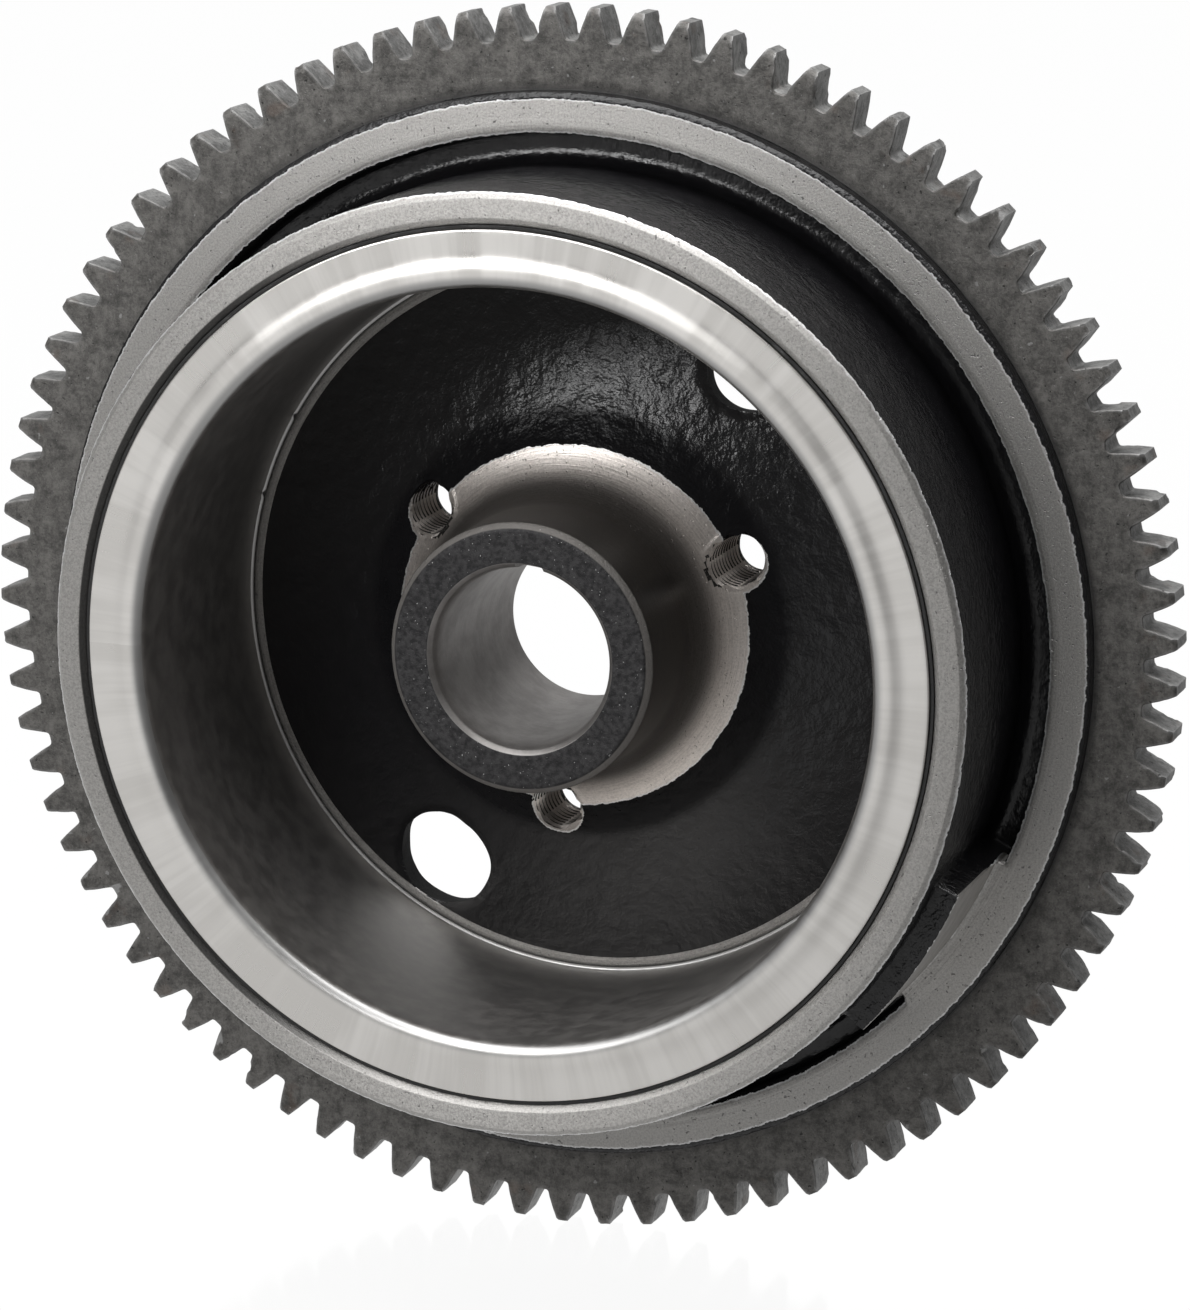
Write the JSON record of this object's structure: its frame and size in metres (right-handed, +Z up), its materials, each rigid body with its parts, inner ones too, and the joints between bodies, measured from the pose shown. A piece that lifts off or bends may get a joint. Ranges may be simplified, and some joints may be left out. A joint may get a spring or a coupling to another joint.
{
  "type": "flywheel",
  "caption": "Magneto flywheel for a small engine: iron casting with keyed taper hub, magnet cup with polished liner, trigger lug and shrunk-on starter ring gear.",
  "frame": {"origin": "on the spin axis, in the plane of the ring gear's face on the open (stator) side", "axes": "+Y along the spin axis towards the crank nut, so the open stator side faces -Y; +Z up; +X to the right when looking into the open side"},
  "size_m": [0.174, 0.0466, 0.174],
  "materials": {
    "casting": "gloss black paint over rough casting, machined faces left bare grey",
    "ring_gear": "dark heat-treated steel with light specks",
    "liner": "polished",
    "potting": "matte black resin",
    "cage": "moulded black plastic",
    "magnet": "ground dark grey ferrite"
  },
  "bodies": {
    "root": {"flywheel_casting": "casting", "ring_gear": "ring_gear", "magnet_liner": "liner", "potting_ring": "potting", "magnet_cage": "cage", "magnet_01": "magnet", "magnet_02": "magnet", "magnet_03": "magnet", "magnet_04": "magnet", "magnet_05": "magnet", "magnet_06": "magnet", "magnet_07": "magnet", "magnet_08": "magnet", "magnet_09": "magnet", "magnet_10": "magnet", "magnet_11": "magnet", "magnet_12": "magnet"}
  },
  "joints": []
}
